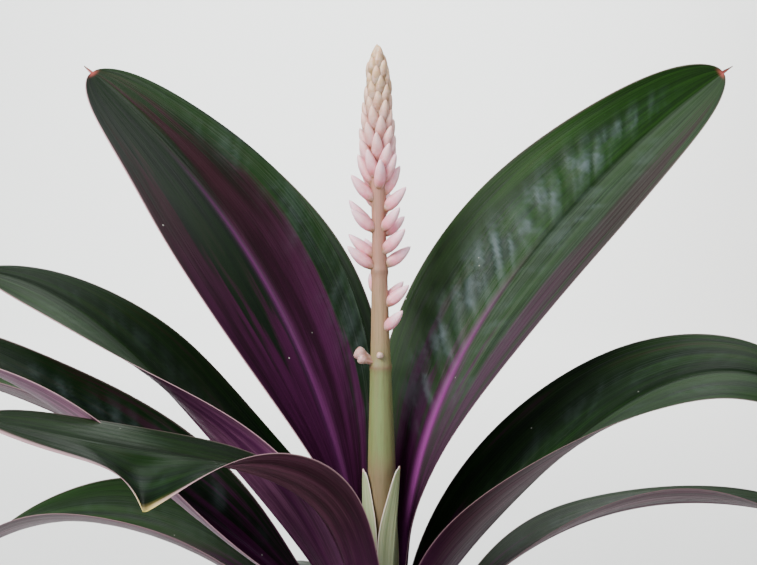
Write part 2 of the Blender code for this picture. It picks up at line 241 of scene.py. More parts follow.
def make_clay():
    """Orange-brown clay, blotched, with lime creeping down from the rim and up from the foot."""
    finish, tree, shader = new_finish("terracotta", Roughness=0.85)
    place = node(tree, "ShaderNodeTexCoord").outputs["Object"]
    blotches, grains = grain_masks(tree, place, 26.0, 1400.0)
    height = node(tree, "ShaderNodeSeparateXYZ", {0: place}).outputs[2]
    clay = blended(tree, blotches, (0.40, 0.155, 0.075, 1), (0.53, 0.235, 0.125, 1))
    clay = blended(tree, stepped(tree, grains, 0.62, 0.75), clay, (0.30, 0.12, 0.06, 1))
    wander = noise(tree, place, 38.0, 6.0, 0.65)
    lifted = sums(tree, "ADD", height, times(tree, wander, 0.06))
    foot = times(tree, stepped(tree, lifted, 0.062, 0.036), 0.45)
    band = times(tree, stepped(tree, lifted, 0.128, 0.146), 0.35)
    lime = times(tree, sums(tree, "MAXIMUM", foot, band), stepped(tree, wander, 0.4, 0.62))
    tree.links.new(blended(tree, lime, clay, (0.62, 0.50, 0.42, 1)), shader.inputs["Base Color"])
    bumped(tree, shader, grains, 0.35, 0.0004)
    return finish


def drill_drains(pot):
    """Cuts the drain holes through the base and keeps the cut mesh. Each cutter is a drum: a ring of
    points about the hole's own axis, low and high, and a single point at each end."""
    hole = (np.arange(DRAIN_HOLES) + 0.5)[:, None, None] * 2 * math.pi / DRAIN_HOLES
    angle = np.arange(DRAIN_SIDES) * 2 * math.pi / DRAIN_SIDES
    radius = DRAIN_RADIUS * np.array([0, 1, 1, 0])[:, None]
    height = POT_FLOOR * np.array([-1, -1, 2, 2])[:, None]
    x = DRAIN_CIRCLE * np.cos(hole) + radius * np.cos(angle)
    y = DRAIN_CIRCLE * np.sin(hole) + radius * np.sin(angle)
    drums = np.stack(np.broadcast_arrays(x, y, height), -1)
    cutter = bpy.data.objects.new("drains", sealed(grid_mesh("drains", drums)))
    bpy.context.scene.collection.objects.link(cutter)
    cut = pot.modifiers.new("drains", "BOOLEAN")
    cut.operation = "DIFFERENCE"
    cut.object = cutter
    bpy.context.view_layer.update()
    drilled = bpy.data.meshes.new_from_object(pot.evaluated_get(bpy.context.evaluated_depsgraph_get()))
    pot.modifiers.clear()
    pot.data = drilled
    bpy.data.objects.remove(cutter)
    drilled.set_sharp_from_angle(angle=math.radians(50))


def make_pot():
    """The wall's profile, rounded at its corners and turned about Z. The turning lines in its outside are
    a short sine wave up the wall, whose depth follows a long one."""
    band = POT_HEIGHT - RIM_HEIGHT
    profile = rounded(
        [
            (0, 0), (POT_BASE_RADIUS, 0), (wall_radius(band), band), (POT_TOP_RADIUS, band),
            (POT_TOP_RADIUS, POT_HEIGHT), (wall_radius(POT_HEIGHT) - POT_WALL, POT_HEIGHT),
            (wall_radius(POT_FLOOR) - POT_WALL, POT_FLOOR), (0, POT_FLOOR),
        ],
        EDGE_ROUNDING,
    )
    profile = evenly(profile, PROFILE_STEP)
    radius, height = profile.T.copy()
    outside = (radius > wall_radius(height) - POT_WALL / 2) & (height > EDGE_ROUNDING)
    fine, coarse = (np.sin(height * 2 * math.pi / pitch) for pitch in TURNING_PITCHES)
    profile[:, 0] += np.where(outside, TURNING_DEPTH * fine * coarse, 0)
    mesh = sealed(grid_mesh("pot_terracotta", turned_grid(profile, POT_SIDES)))
    drill_drains(piece("pot_terracotta", mesh, make_clay(), "clay", "pot"))


make_pot()

# Soil
# Moist potting compost: dark crumbs of peat and bark, filled in by hand and slightly higher round the
# stem, with a few white grains of perlite in it.

SOIL_BELOW_RIM = 0.012
SOIL_TOP = POT_HEIGHT - SOIL_BELOW_RIM
SOIL_MOUND = 0.003
STEM_RADIUS = 0.010
STEM_FOOT = 0.055
GAP = 0.0003
SOIL_OUTER = wall_radius(SOIL_TOP) - POT_WALL - 2 * GAP
SOIL_RINGS = 64
SOIL_SIDES = 200
SOIL_SEED = 3
SOIL_SPREAD = 0.93
LUMP_ROWS = 5
LUMP_SIDES = 6
LUMP_KNOCK = 0.22
# Depth and wavelength of the three sizes of relief
SOIL_RELIEF = [(0.0009, 0.011), (0.0006, 0.004), (0.0003, 0.002)]
# Loose grains: piece, finish, number, smallest and largest radius, seed, flatness, dark and light colour
GRAINS = [
    ("compost_crumbs", "crumbs", 900, (0.0007, 0.0019), 11, 0.8,
     (0.028, 0.016, 0.010, 1), (0.085, 0.050, 0.030, 1)),
    ("compost_bark", "bark_chips", 70, (0.0022, 0.0042), 12, 0.45,
     (0.065, 0.034, 0.018, 1), (0.150, 0.085, 0.048, 1)),
    ("compost_perlite", "perlite", 110, (0.0008, 0.0017), 13, 0.9,
     (0.50, 0.48, 0.44, 1), (0.72, 0.70, 0.66, 1)),
]


def soil_height(radius):
    """Height of the soil's top: level with the mound near the stem, falling to the wall."""
    return SOIL_TOP + np.interp(radius / SOIL_OUTER, [0.35, 0.6, 1.0], [SOIL_MOUND, 0.6 * SOIL_MOUND, 0])


def make_soil_finish(name, low, high):
    """Matt earth: blotched between two colours, darker in its fine grains and smoother where damp."""
    finish, tree, shader = new_finish(name, Roughness=0.95)
    place = node(tree, "ShaderNodeTexCoord").outputs["Object"]
    blotches, grains = grain_masks(tree, place, 160.0, 1100.0)
    damp = noise(tree, place, 30.0)
    colour = blended(tree, blotches, low, high)
    colour = blended(tree, stepped(tree, grains, 0.5, 0.7), colour, (0.010, 0.006, 0.004, 1))
    tree.links.new(colour, shader.inputs["Base Color"])
    tree.links.new(stepped(tree, damp, 1.3, 0.2), shader.inputs["Roughness"])
    bumped(tree, shader, grains, 0.8, 0.0008)
    return finish


def make_soil():
    """Turned block of compost whose top is broken by three sizes of random relief, apart from the ring
    at the wall and the two at the stem."""
    bottom = POT_FLOOR + GAP
    radius = np.linspace(SOIL_OUTER, STEM_RADIUS + GAP, SOIL_RINGS)
    under = [(0, bottom), (wall_radius(bottom) - POT_WALL - 2 * GAP, bottom)]
    top = np.stack([radius, soil_height(radius)], 1)
    hole = [(STEM_RADIUS + GAP, STEM_FOOT - GAP), (0, STEM_FOOT - GAP)]
    points = turned_grid(np.vstack([under, top, hole]), SOIL_SIDES)
    broken = sum(
        depth * ripple(points, wavelength, SOIL_SEED + number)
        for number, (depth, wavelength) in enumerate(SOIL_RELIEF)
    )
    rows = slice(len(under) + 1, SOIL_RINGS)
    points[rows, :, 2] += broken[rows]
    finish = make_soil_finish("compost", (0.020, 0.012, 0.008, 1), (0.060, 0.036, 0.022, 1))
    piece("compost", sealed(grid_mesh("compost", points)), finish, "earth", "soil")


def lumps(count, sizes, seed, flatness):
    """Small angular lumps as one array of points: balls of a few faces whose points are knocked in and
    out, then stretched, turned and flattened. Their distances from the middle are square roots of even
    draws, so that they lie evenly strewn."""
    draws = np.random.default_rng(seed)
    polar = np.linspace(0, math.pi, LUMP_ROWS)[:, None]
    angle = np.arange(LUMP_SIDES) * 2 * math.pi / LUMP_SIDES
    ring = np.sin(polar)
    ball = np.stack([ring * np.cos(angle), ring * np.sin(angle), np.cos(polar) + 0 * angle], -1)
    size = draws.uniform(*sizes, (count, 1, 1, 1)) * draws.uniform(0.6, 1.3, (count, 1, 1, 3))
    knocks = 1 + LUMP_KNOCK * draws.normal(size=(count, LUMP_ROWS, LUMP_SIDES, 1))
    knocks[:, 0] = knocks[:, 0, :1]
    knocks[:, -1] = knocks[:, -1, :1]
    turn = np.linalg.qr(draws.normal(size=(count, 3, 3)))[0]
    shape = np.einsum("nrcj,nij->nrci", ball[None] * knocks * size, turn) * (1, 1, flatness)
    nearest = (STEM_RADIUS * 1.2 / SOIL_OUTER) ** 2
    out = np.sqrt(draws.uniform(nearest, SOIL_SPREAD, count)) * SOIL_OUTER
    way = draws.uniform(0, 2 * math.pi, count)
    height = soil_height(out) + draws.uniform(-0.0004, 0.0007, count)
    seat = np.stack([out * np.cos(way), out * np.sin(way), height], 1)
    return shape + seat[:, None, None]


make_soil()
for name, finish, count, sizes, seed, flatness, low, high in GRAINS:
    loose = sealed(grid_mesh(name, lumps(count, sizes, seed, flatness)))
    piece(name, loose, make_soil_finish(finish, low, high), "earth")

# Stem
# A short woody stem, ringed where old leaves have dropped off. It stands in a plain hole in the soil
# and its top is hidden by the leaf bases that clasp it.

STEM_TOP = 0.167
STEM_TAPER = 0.05
STEM_BEVEL = 0.002
STEM_ROWS = 150
STEM_SIDES = 72
SCAR_PITCH = 0.006
SCAR_DEPTH = 0.0003
SCAR_WIDTH = 0.13
BURIED_DEPTH = 0.0001


def stem_radius(height):
    """Radius of the stem: even in the soil, with a straight taper above it."""
    return STEM_RADIUS - STEM_TAPER * np.maximum(0.0, height - SOIL_TOP)


def stretched(tree, vector, scale, turn=0.0):
    """Vector socket multiplied by the scale along each axis and then turned about the third."""
    made = node(tree, "ShaderNodeMapping", {"Vector": vector, "Rotation": (0, 0, turn), "Scale": scale})
    return made.outputs[0]


def read(tree, name):
    """Socket with the number that mark kept for each point."""
    return node(tree, "ShaderNodeAttribute", attribute_name=name).outputs["Fac"]


def make_bark():
    """Grey-brown bark: lengthwise fibres over blotches, dark in the scars."""
    finish, tree, shader = new_finish("stem_bark", Roughness=0.75)
    place = node(tree, "ShaderNodeTexCoord").outputs["Object"]
    blotches, fibres = grain_masks(tree, stretched(tree, place, (1.0, 1.0, 0.12)), 90.0, 1500.0)
    colour = blended(tree, blotches, (0.115, 0.090, 0.048, 1), (0.215, 0.180, 0.105, 1))
    colour = blended(tree, stepped(tree, fibres, 0.45, 0.75), colour, (0.060, 0.042, 0.024, 1))
    colour = blended(tree, read(tree, "scar"), colour, (0.055, 0.036, 0.022, 1))
    tree.links.new(colour, shader.inputs["Base Color"])
    bumped(tree, shader, fibres, 0.6, 0.0005)
    return finish


def mark(mesh, name, values, kind="FLOAT"):
    """Keeps a number for each point of the mesh, or a vector if that is the kind, for its material."""
    kept = mesh.attributes.new(name, kind, "POINT").data
    field = "value" if kind == "FLOAT" else "vector"
    kept.foreach_set(field, np.ravel(values).astype(np.float32))


def make_stem():
    """Rod about Z whose radius rises by a fourth power to each scar's lip and drops behind it."""
    chamfer = 0.4 * STEM_RADIUS
    height = np.linspace(STEM_FOOT + chamfer, STEM_TOP - STEM_BEVEL, STEM_ROWS)
    climb = (height / SCAR_PITCH) % 1.0
    lip = np.where(height > SOIL_TOP, SCAR_DEPTH * (climb**4 - 1), -BURIED_DEPTH)
    foot = [(0, STEM_FOOT), (STEM_RADIUS - chamfer, STEM_FOOT)]
    side = np.stack([stem_radius(height) + lip, height], 1)
    top = [(stem_radius(STEM_TOP) - STEM_BEVEL, STEM_TOP), (0, STEM_TOP)]
    mesh = grid_mesh("stem_rings", turned_grid(np.vstack([foot, side, top]), STEM_SIDES))
    scar = np.exp(-(((climb - 0.5) % 1.0 - 0.5) / SCAR_WIDTH) ** 2)
    scar = np.concatenate([[0, 0], scar, [0, 0]])
    mark(mesh, "scar", np.repeat(0.8 * scar[:, None], STEM_SIDES, axis=1))
    piece("stem_rings", sealed(mesh), make_bark(), "bark", "stem")


make_stem()

# Leaves
# Stiff, slightly fleshy lance leaves that clasp the stem in a rosette: dark green above with a purple
# flush and a purple rib, purple below, with a thin pale margin and a pink tip. They grow as one sheet.

# One leaf. It leaves the stem at its height. Its bearing, rise and roll, in degrees, change from base to
# tip, and so does the fold of its margins. Belly is where the blade is widest and start where it begins,
# as shares of the length. Skew makes the left half that much wider than the mean and the right half
# narrower, corner is a bent corner of the left half, base is the clasping base's width as a share of the
# leaf's, and rows is the number of rows of points.
Leaf = namedtuple(
    "Leaf", "name height length width bearing rise look roll fold belly start skew corner base rows",
    defaults=[(0,), (30, 20, 18), 0.6, 0.15, 0.0, None, 0.25, 170],
)
# A bent corner: its place along the leaf, how far its bend reaches before and after that, and its droop
# in degrees
Corner = namedtuple("Corner", "place before after droop")
# One half of a blade: how purple it is between two distances from the rib, given as shares of the half's
# width, how strong its wrinkles and their painted grey sheen are and where that lies, how much painted
# grey sheen it has all over, or if that is negative how much painted shade darkens it below plain green,
# and how pale its margin is
Half = namedtuple(
    "Half", "purple inner outer bloom beside film pale", defaults=[0.0, 0.0, 1.0, 0.1, 0.35, 0.1, 0.3]
)
# Both halves' looks. Reach is how far along the leaf the purple of its base goes, rib how purple the rib
# is and faded where along it that ends, bright the share of light green, mauve how light the underside
# is, and wave how much the margins wave
Look = namedtuple(
    "Look", "right left reach rib faded bright mauve wave", defaults=[0.3, 0.65, 0.3, 0.3, 0.4]
)

BLADE_THICKNESS = 0.0007
CLASP_GAP = 0.0005
AWN_START = 0.982
AWN_WIDTH = 0.0016
AWN_NARROWING = 0.75
BLADE_FULLNESS = 0.85
TIP_BLUNTNESS = 0.25
MARGIN_WIDTH = 0.0004
CORNER_MARGIN_WIDTH = 0.0024
CHANNEL_DEPTH = 0.0006
CHANNEL_WIDTH = 0.0016
KEEL_DEPTH = 0.0009
KEEL_WIDTH = 0.0022
PLEAT_HEIGHT = 0.0001
PLEATS = 5.5
PLEAT_WANDER = 0.15
WAVE_HEIGHT = 0.0012
WAVE_LENGTH = 0.085
RIB_WIDTH = 0.0007
RIB_TAPER = 0.0022
GOLDEN_REACH = 0.022
# Width of the band of wrinkles and their painted grey sheen, as a share of a half's width
WRINKLE_SHEEN_WIDTH = 0.24
WRINKLE_HEIGHT = 0.0006
# Size and strength of the two random reliefs that make the wrinkles
WRINKLE_RELIEF = [(0.0085, 1.6), (0.0040, 0.8)]
WRINKLE_SLANT = 0.8
WRINKLE_STRETCH = 0.28
RIB_FOLD = (0, 10, 8, 8)
DROOPING_CORNER = Corner(place=0.71, before=0.09, after=0.05, droop=48)

LEAVES = [
    Leaf("leaf_right_tall", height=0.158, length=0.313, width=0.0785, bearing=(25, -14, 20, 18, 15),
         rise=(92, 82, 38, 48, 31), roll=(0, 60, 14, 34, 76), fold=(8, 20, 24), belly=0.52, start=0.12,
         skew=0.05, rows=330, look=Look(
             Half(purple=0.74, inner=0.5, bloom=0.3, beside=0.3, film=0.42, pale=0.2),
             Half(bloom=0.74, beside=0.36, film=0, pale=0.2), reach=0.42, rib=0.9, faded=0.62,
             bright=0.25)),
    Leaf("leaf_left_tall", height=0.153, length=0.314, width=0.075, bearing=(158, 140, 160, 149),
         rise=(84, 70, 44, 36), roll=(0, -45, -25, -45), fold=(27, 20, 20), belly=0.57, start=0.13,
         skew=0.04, look=Look(
             Half(purple=1, outer=0.62, bloom=0.15, beside=0.8, film=-0.3, pale=0),
             Half(purple=0.95, inner=0.58, bloom=0, beside=0.5, film=-0.75, pale=1), reach=0.52,
             rib=0.4, faded=0.88, bright=0)),
    Leaf("leaf_left_torn", height=0.1445, length=0.248, width=0.065, bearing=(222, 284, 165, 206, 209),
         rise=(59, 119, -65, 45, 8), roll=(0, -45, 74, -34, -7), fold=(70, 49, -14, -7), belly=0.68,
         start=-0.2, corner=DROOPING_CORNER, base=0.42, look=Look(
             Half(beside=0.5, film=-0.3, pale=0.2), Half(beside=0.5, film=-0.45, pale=0.6), reach=0.4,
             rib=0.2, bright=0.05, mauve=0.12, wave=0.6)),
    Leaf("leaf_left_upper", height=0.142, length=0.259, width=0.084, bearing=(174, 142, 247, 116, 224),
         rise=(67, 39, 55, 57, 4), roll=(0, 22, 13, -30, -35), fold=(49, 57, 32, -49), belly=0.38,
         start=0.08, skew=-0.04, look=Look(
             Half(purple=0.1, beside=0.4, film=-0.5, pale=0.2),
             Half(bloom=0.15, beside=0.5, film=0.45, pale=0.7), reach=0.34, rib=0.1, bright=0.15,
             mauve=1)),
    Leaf("leaf_right_upper", height=0.14, length=0.245, width=0.087, bearing=(-1, -30, -1, 18, -13),
         rise=(82, 24, 64, 41, -47), roll=(0, 21, -2, 5, 53), fold=(79, 22, 17, -18), belly=0.48,
         start=0.03, skew=0.03, look=Look(
             Half(bloom=0.2, beside=0.5, film=0.3, pale=0.2),
             Half(purple=0.15, inner=0.5, beside=0.4, film=-0.35, pale=0.2), reach=0.3, rib=0.1,
             bright=0.05, mauve=0.1)),
    Leaf("leaf_left_middle", height=0.136, length=0.257, width=0.066, bearing=(198, 186, 192, 186),
         rise=(60, 20, 58, 14), roll=(0, -84, 46, -35), fold=(44, 48, 36), look=Look(
             Half(purple=0.2, bloom=0.3, beside=0.5, film=-0.6),
             Half(purple=0.8, beside=0.5, film=0, pale=0.6), reach=0.45, rib=0.2, bright=0, mauve=0.6)),
    Leaf("leaf_left_far", height=0.13, length=0.272, width=0.056, bearing=(166, 171, 172, 173),
         rise=(56, 40, 24, 10), roll=(0, 8, 14, 3), fold=(29, 19, 20), look=Look(
             Half(), Half(), reach=0.35, rib=0.2, bright=0.5, mauve=0.2)),
    Leaf("leaf_left_low", height=0.12, length=0.242, width=0.067, bearing=(156, 159, 159, 162),
         rise=(50, 32, 6, -38), roll=(0, 0, -12, 0), fold=(50, 38, 20), look=Look(
             Half(), Half(purple=0.1), reach=0.4, rib=0.2, bright=0.15, mauve=0.2)),
    Leaf("leaf_right_low", height=0.13, length=0.264, width=0.053, bearing=(34, 32, 24, 18),
         rise=(54, 16, -4, -20), roll=(0, 0, -45, 35), fold=(30, 18, 16), look=Look(
             Half(bloom=0.2, beside=0.4, film=0.3), Half(bloom=0.2, beside=0.4, film=0.3), reach=0.35,
             rib=0.1, bright=0.1, mauve=0.1)),
    Leaf("leaf_back_tall", height=0.148, length=0.318, width=0.064, bearing=(103, 124, 128, 131),
         rise=(72, 56, 41, 38), roll=(0, 0, 0, 4), fold=(30, 20, 20), look=Look(
             Half(purple=0.6, outer=0.7), Half(purple=0.6, outer=0.7), reach=0.5, rib=0.8, faded=0.8,
             bright=0.1)),
    Leaf("leaf_back_middle", height=0.135, length=0.235, width=0.056, bearing=(88, 104, 100, 97),
         rise=(62, 48, 24, -4), roll=(0, 10, 10, 10), look=Look(
             Half(purple=0.3), Half(purple=0.3), reach=0.45, rib=0.6, faded=0.7, bright=0.2)),
    Leaf("leaf_back_right", height=0.116, length=0.235, width=0.058, bearing=(64, 66, 68, 70),
         rise=(36, 4, -22, -42), look=Look(
             Half(), Half(purple=0.1), reach=0.35, rib=0.4, bright=0.4)),
    Leaf("leaf_front_right", height=0.132, length=0.24, width=0.06, bearing=(300, 302, 304, 306),
         rise=(56, 30, -20, -50), look=Look(
             Half(purple=0.4, inner=0.5, outer=0.9), Half(purple=0.2), reach=0.42, rib=0.7, faded=0.7,
             bright=0.25)),
    Leaf("leaf_front_left", height=0.123, length=0.245, width=0.06, bearing=(256, 254, 250, 248),
         rise=(50, 26, -24, -48), look=Look(
             Half(bloom=0.6), Half(purple=0.2), reach=0.4, rib=0.7, faded=0.7)),
    Leaf("leaf_right_front", height=0.119, length=0.23, width=0.058, bearing=(334, 334, 336, 338),
         rise=(44, 24, -10, -42), look=Look(
             Half(purple=0.2), Half(bloom=0.6), reach=0.4, rib=0.7, faded=0.7)),
    Leaf("leaf_back_left", height=0.112, length=0.225, width=0.056, bearing=(122, 120, 118, 116),
         rise=(40, 14, -18, -44), look=Look(
             Half(), Half(), reach=0.4, rib=0.4, bright=0.4)),
]


def blend(values, t):
    """Bezier blend of control values from the base, t = 0, to the tip, t = 1."""
    degree = len(values) - 1
    return sum(math.comb(degree, i) * v * t**i * (1 - t) ** (degree - i) for i, v in enumerate(values))


def smooth(value, start, end):
    """0 before start, 1 after end and a smooth cubic step between."""
    s = np.clip((value - start) / (end - start), 0, 1)
    return s * s * (3 - 2 * s)


def half_width(leaf, t):
    """A lance outline: a sine arch, widest at the leaf's belly and blunter towards its tip, and a clasping
    base that narrows evenly, joined as the cube root of the sum of their cubes. The awn's width is added
    all along, and the last stretch is the awn alone."""
    span = AWN_START - leaf.start
    s = np.clip((t - leaf.start) / span, 0, 1)
    shift = math.log(0.5) / math.log((leaf.belly - leaf.start) / span)
    fullness = BLADE_FULLNESS - TIP_BLUNTNESS * smooth(t, 0.7, AWN_START)
    blade = np.sin(np.pi * s**shift).clip(0, 1) ** fullness
    base = leaf.base * (AWN_START - t).clip(0)
    awn = AWN_WIDTH * (1 - AWN_NARROWING * smooth(t, AWN_START, 1))
    return 0.5 * leaf.width * (blade**3 + base**3) ** (1 / 3) + 0.5 * awn


def leaf_rib(leaf, seat, t):
    """Rib points summed from steps whose slope and bearing are blended, with sideways and up at each."""
    rise, bearing, roll = (np.radians(blend(values, t)) for values in (leaf.rise, leaf.bearing, leaf.roll))
    along = np.stack([np.cos(rise) * np.cos(bearing), np.cos(rise) * np.sin(bearing), np.sin(rise)], 1)
    left = np.stack([-np.sin(bearing), np.cos(bearing), 0 * t], 1)
    over = np.cross(along, left)
    turn, lean = np.cos(roll)[:, None], np.sin(roll)[:, None]
    centre, radius = seat
    start = np.array([
        centre[0] + radius * math.cos(bearing[0]), centre[1] + radius * math.sin(bearing[0]), leaf.height,
    ])
    steps = (along[1:] + along[:-1]) / 2 * leaf.length * np.diff(t)[:, None]
    rib = start + np.vstack([np.zeros(3), np.cumsum(steps, axis=0)])
    return rib, turn * left + lean * over, turn * over - lean * left


def corner_droop(corner, t, u):
    """Extra downward slope of a blade's left half, which falls off exponentially from its bent corner."""
    if corner is None:
        return np.zeros((len(t), len(u)))
    away = (t - corner.place)[:, None]
    softness = 0.05 * (1 - u.clip(0))
    distance = np.sqrt(away**2 + softness**2) - softness
    nearness = np.exp(-distance / np.where(away < 0, corner.before, corner.after))
    return np.radians(corner.droop) * nearness * smooth(u, 0.0, 0.25)


def leaf_sheet(leaf, seat, t, u):
    """Middle sheet of a leaf and its normals: across the rib each half is an arc whose slope grows
    evenly from the rib's fold to the margin's. t runs from base to tip and u from right to left."""
    rib, across, upward = leaf_rib(leaf, seat, t)
    half = half_width(leaf, t)
    wrap = math.degrees(half[0] / seat[1])
    middle = np.radians(blend(RIB_FOLD, t))[:, None]
    margin = np.radians(blend((wrap, *leaf.fold), t))[:, None]
    inner = middle - corner_droop(leaf.corner, t, u)
    slope = inner + (margin - middle) * np.abs(u)
    mean = (inner + slope) / 2
    reach = half[:, None] * u * (1 + leaf.skew * u)
    y = reach * np.cos(mean)
    z = np.abs(reach) * np.sin(mean)
    points = rib[:, None] + y[..., None] * across[:, None] + z[..., None] * upward[:, None]
    tilt = (slope * np.sign(u))[..., None]
    normals = np.cos(tilt) * upward[:, None] - np.sin(tilt) * across[:, None]
    return points, normals, half


def by_half(leaf, u, field):
    """A value of the blade's two halves, as a row over u with a quick smooth change at the rib."""
    right, left = (getattr(half, field) for half in (leaf.look.right, leaf.look.left))
    return right + (left - right) * smooth(u, -0.06, 0.06)


def wrinkle_sheen_mask(leaf, t, u):
    """Where the wrinkles and their painted grey sheen lie: along each half, a bell at that half's distance
    from the rib.
    """
    away = (np.abs(u) - by_half(leaf, u, "beside")) / WRINKLE_SHEEN_WIDTH
    band = np.exp(-(away**2)) * by_half(leaf, u, "bloom")
    return band * (smooth(t, 0.22, 0.40) * (1 - smooth(t, 0.72, 0.95)))[:, None]


def wrinkles(leaf, t, u, half, seed):
    """Sharp-edged ridges, -1 to 1, that run out from the rib and slant towards the tip: random relief of
    two sizes, drawn out across the blade and flattened at its tops and bottoms."""
    across = np.abs(u) * half[:, None]
    along = (t * leaf.length)[:, None] - WRINKLE_SLANT * across
    slant = np.stack([WRINKLE_STRETCH * u * half[:, None], along, 0 * across], -1)
    relief = sum(
        strength * ripple(slant, size, seed + number)
        for number, (size, strength) in enumerate(WRINKLE_RELIEF)
    )
    return np.tanh(relief)


def leaf_relief(leaf, t, u, half, seed):
    """Heights on the sheet: a bell-shaped channel over the rib, soft lengthwise sine pleats, a random wave
    that grows towards the margins and, in the band of the painted sheen, the wrinkles."""
    along = t[:, None]
    across = np.abs(u) * half[:, None]
    flat = np.stack([u * half[:, None], along * leaf.length + 0 * u, 0 * across], -1)
    channel = -CHANNEL_DEPTH * np.exp(-((across / CHANNEL_WIDTH) ** 2)) * (1 - along) ** 0.5
    pleats = PLEAT_HEIGHT * np.sin(2 * math.pi * PLEATS * u + 1.5 * ripple(flat, PLEAT_WANDER, seed))
    wave = WAVE_HEIGHT * leaf.look.wave * ripple(flat, WAVE_LENGTH, seed + 1) * np.abs(u) ** 2.5
    folds = WRINKLE_HEIGHT * wrinkle_sheen_mask(leaf, t, u) * wrinkles(leaf, t, u, half, seed + 2)
    return channel * smooth(along, 0.0, 0.1) + (pleats + wave + folds) * smooth(along, 0.08, 0.25)


def corner_marks(corner, t, u):
    """Two masks of the left half: where its pale margin is broad, from just before the bent corner on, and
    where its edge is golden, in a bell about the corner."""
    if corner is None:
        nowhere = 0 * t[:, None] * u
        return nowhere, nowhere
    broad = smooth(t, corner.place - 0.12, corner.place)[:, None]
    golden = np.exp(-(((t[:, None] - corner.place) / GOLDEN_REACH) ** 2))
    return broad * (u > 0), golden * (u > 0)


def leaf_marks(leaf, t, u, half, seed):
    """Masks for the skin, each a product of smooth steps along the blade and across it. Side is the
    distance from the rib as a share of the half's width, and across the same in metres."""
    look = leaf.look
    along = t[:, None]
    side = np.abs(u)
    across = side * half[:, None]
    level = 0 * across
    inner, outer = by_half(leaf, u, "inner"), by_half(leaf, u, "outer")
    beyond = smooth(side, outer - 0.12, outer + 0.12) * (outer < 1)
    band = smooth(side, inner - 0.15, inner + 0.1) * (1 - beyond)
    flush = by_half(leaf, u, "purple") * band * (1 - 0.75 * smooth(along, 0.62, 0.97))
    base = (1 - smooth(along, look.reach - 0.28, look.reach + 0.12)) * (1 - 0.45 * smooth(side, 0.45, 0.9))
    rib_width = RIB_WIDTH + RIB_TAPER * (1 - along) ** 1.3
    ribbed = np.exp(-((across / rib_width) ** 2)) * (1 - smooth(along, look.faded - 0.35, look.faded))
    broad, golden = corner_marks(leaf.corner, t, u)
    edge = MARGIN_WIDTH + CORNER_MARGIN_WIDTH * broad
    margin = 1 - smooth(half[:, None] - across, edge * 0.4, edge * 1.3)
    film = by_half(leaf, u, "film")
    return {
        "flush": np.maximum(flush, base),
        # Band of the wrinkles and their painted grey sheen
        "bloom": wrinkle_sheen_mask(leaf, t, u),
        # A positive value is a painted grey sheen; a negative one is painted shade, kept as dark
        "film": film.clip(0) * smooth(side, 0.0, 0.08) * smooth(along, 0.1, 0.35),
        "dark": (-film).clip(0) + level,
        # Ridges of the wrinkles, which take a painted highlight, with painted shade between them
        "ridge": smooth(wrinkles(leaf, t, u, half, seed + 2), -0.7, 0.9),
        "rib": look.rib * ribbed,
        "margin": margin * by_half(leaf, u, "pale"),
        "tip": smooth(along, AWN_START - 0.010, AWN_START) * smooth(-side, -1.0, -0.2),
        "awn": smooth(along, AWN_START + 0.003, 1) + level,
        "gold": golden * smooth(side, 0.86, 1.0),
        "along": along + level,
        "bright": look.bright + level,
        "mauve": look.mauve + level,
    }


def make_vein_group():
    """Patterns on a blade as masks: wide and narrow lengthwise streaks, and slanting creases. The blade's
    own coordinates are across, along and a number that differs from leaf to leaf."""
    group, given, result = new_group("veins", {"Blade": "Vector"}, ["Streaks", "Lines", "Creases"])
    wide = stretched(group, given.outputs["Blade"], (7.0, 0.55, 1.0))
    narrow = stretched(group, given.outputs["Blade"], (42.0, 0.5, 1.0))
    slant = stretched(group, given.outputs["Blade"], (2.2, 3.2, 1.0), turn=0.5)
    streaks = stepped(group, noise(group, wide, 1.0, 4.0, 0.6), 0.34, 0.68)
    creases = stepped(group, noise(group, slant, 1.0, 3.0, 0.65), 0.40, 0.62)
    group.links.new(streaks, result.inputs["Streaks"])
    group.links.new(noise(group, narrow, 1.0, 2.0, 0.6), result.inputs["Lines"])
    group.links.new(creases, result.inputs["Creases"])
    return group


def vein_masks(tree):
    """Mask sockets of the streaks, lines and creases at the blade's own coordinates."""
    blade = node(tree, "ShaderNodeAttribute", attribute_name="blade").outputs["Vector"]
    made = node(tree, "ShaderNodeGroup", {"Blade": blade}, node_tree=vein_group)
    return made.outputs["Streaks"], made.outputs["Lines"], made.outputs["Creases"]


vein_group = make_vein_group()


def green_skin(tree, streaks, lines):
    """Two greens by the streaks, a lighter one in the lines, and a blackish painted shade where marked
    dark.
    """
    green = blended(tree, streaks, (0.0022, 0.0085, 0.0018, 1), (0.0080, 0.033, 0.0030, 1))
    light = times(tree, read(tree, "bright"), stepped(tree, lines, 0.1, 0.9))
    green = blended(tree, light, green, (0.026, 0.085, 0.009, 1))
    # Blackish green where marked dark: painted shade
    return blended(tree, read(tree, "dark"), green, (0.0020, 0.0045, 0.0030, 1))


def flushed(tree, green, streaks):
    """Purple over the green where the flush less the streaks is deep, and browner high on the leaf."""
    low = blended(tree, streaks, (0.015, 0.002, 0.010, 1), (0.044, 0.006, 0.034, 1))
    high = blended(tree, streaks, (0.0075, 0.0026, 0.0028, 1), (0.0185, 0.0045, 0.0080, 1))
    purple = blended(tree, stepped(tree, read(tree, "along"), 0.35, 0.75), low, high)
    uneven = times(tree, sums(tree, "SUBTRACT", streaks, 0.5), 0.7)
    depth = sums(tree, "ADD", read(tree, "flush"), uneven)
    return blended(tree, stepped(tree, depth, 0.22, 0.72), green, purple)


